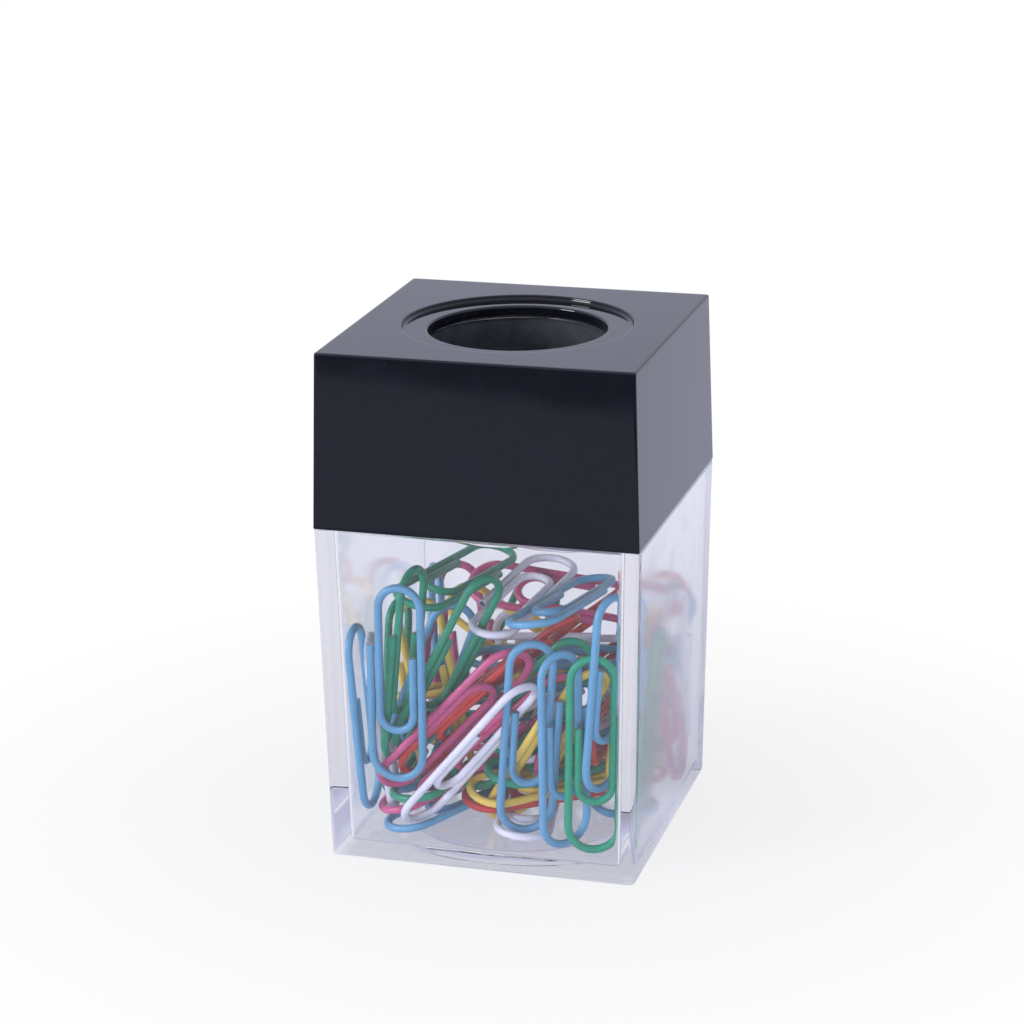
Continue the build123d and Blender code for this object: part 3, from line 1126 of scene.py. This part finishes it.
@dataclass(frozen=True)
class Lamp:
    """A large soft lamp that faces the holder, which glossy surfaces mirror if it shines."""

    target: ClassVar[Spot] = (0.0, 0.0, 0.035)

    name: str
    spot: Spot
    size: float
    power: float
    shines: bool = False

    def build(self) -> None:
        """Make the lamp and aim it."""
        light = bpy.data.lights.new(self.name, "AREA")
        light.size = self.size
        light.energy = self.power
        lamp = bpy.data.objects.new(self.name, light)
        lamp.visible_glossy = self.shines
        lamp.visible_transmission = False
        bpy.context.scene.collection.objects.link(lamp)
        aim = Vector(self.target) - Vector(self.spot)
        lamp.matrix_world = Matrix.Translation(self.spot) @ aim.to_track_quat("-Z", "Y").to_matrix().to_4x4()


@dataclass
class Studio:
    """White floor, soft light from all round, three large soft lamps and the photograph's camera."""

    lens: float = 110.363
    sensor: float = 36.0
    near_clip: float = 0.01
    eye: Spot = (0.111328, -0.390824, 0.173423)
    right: Spot = (0.96197, 0.27289, -0.01170)
    up: Spot = (-0.07215, 0.29517, 0.95272)
    back: Spot = (0.26344, -0.91564, 0.30363)
    key: Lamp = Lamp("key", (-0.48, -0.36, 0.25), 0.22, 2.6, shines=True)
    front: Lamp = Lamp("front", (0.12, -0.6, 0.09), 0.25, 2.3)
    fill: Lamp = Lamp("fill", (0.5, 0.1, 0.3), 0.4, 0.6)
    paper_reach: float = 0.272
    floor_half: float = 4.0
    soft_level: float = 0.27
    soft_white: str = "#f6f6fc"
    dusk_level: float = 0.1
    dusk_reach: Span = (-0.06, 0.0)
    bounces: int = 32

    def paper(self) -> WhitePaper:
        """The floor's finish, which knows where the camera and the key lamp are."""
        key_x, key_y = plan_way(self.key.spot)
        return WhitePaper("white_paper", toward=plan_way(self.eye), lee=(-key_x, -key_y))

    def build_world(self) -> None:
        """Make the surroundings: white where they are seen, cooler in mirrors and softer as a light.

        Below the level of the floor, mirrored rays that pass its edge find the dim room.
        """
        world = bpy.data.worlds.new("studio")
        bpy.context.scene.world = world
        world.use_nodes = True
        tree = world.node_tree
        tree.nodes.clear()
        seen, mirrored = ray_kinds(tree)
        way = add_node(tree, "TexCoord")["Generated"]
        height = add_node(tree, "SeparateXYZ", (way,))["Z"]
        level = add_node(tree, "MapRange", (height, *self.dusk_reach, self.dusk_level, 1.0))["Result"]
        light = add_node(tree, "Background", (linear(self.soft_white), self.soft_level))
        mirror = add_node(tree, "Background", (linear(WhitePaper.mirrored_white), level))
        view = add_node(tree, "Background", (linear(WhitePaper.seen_white), 1.0))
        unseen = (mirrored, light["Background"], mirror["Background"])
        first = add_node(tree, "MixShader", unseen)["Shader"]
        mix = add_node(tree, "MixShader", (seen, first, view["Background"]))["Shader"]
        add_node(tree, "OutputWorld", {"Surface": mix})

    def build_floor(self) -> None:
        """Make the floor: a wide sheet of white paper, cut square to the camera.

        Its nearest edge lies past the view, and is what the front of the cap mirrors as a dark band.
        """
        paper = self.paper()
        toward = np.array(paper.toward)
        across = np.array([toward[1], -toward[0]])
        half, near = self.floor_half, self.paper_reach
        ends = np.array([(near, half), (near, -half), (-half, -half), (-half, half)])
        corners = np.column_stack([ends @ np.array([toward, across]), np.zeros(len(ends))])
        mesh = bpy.data.meshes.new("floor")
        mesh.from_pydata(corners.tolist(), [], [(3, 2, 1, 0)])
        mesh.materials.append(paper.material())
        floor = bpy.data.objects.new("floor", mesh)
        bpy.context.scene.collection.objects.link(floor)

    def build_camera(self) -> None:
        """Make the camera, whose axes were solved from the edges of the box and the cap."""
        camera = bpy.data.cameras.new("camera")
        camera.sensor_width = self.sensor
        camera.lens = self.lens
        camera.clip_start = self.near_clip
        holder = bpy.data.objects.new("camera", camera)
        bpy.context.scene.collection.objects.link(holder)
        axes = Matrix((self.right, self.up, self.back)).transposed().to_4x4()
        holder.matrix_world = Matrix.Translation(self.eye) @ axes
        bpy.context.scene.camera = holder

    def build(self) -> None:
        """Make the whole studio."""
        scene = bpy.context.scene
        scene.view_settings.view_transform = "Standard"
        # Light is turned back in the clear walls many times before it comes out
        scene.cycles.max_bounces = self.bounces
        scene.cycles.transmission_bounces = self.bounces
        scene.cycles.glossy_bounces = self.bounces
        self.build_world()
        self.build_floor()
        for lamp in (self.key, self.front, self.fill):
            lamp.build()
        self.build_camera()


def main() -> None:
    """Build the holder, the clips and the studio, in that order."""
    logging.basicConfig(level=logging.INFO, format="%(message)s")
    ClearBox().build()
    Cap().build()
    magnet = RingMagnet()
    magnet.build_magnet()
    magnet.build_glue()
    Heap(Clip()).build()
    Studio().build()


if __name__ == "__main__":
    main()
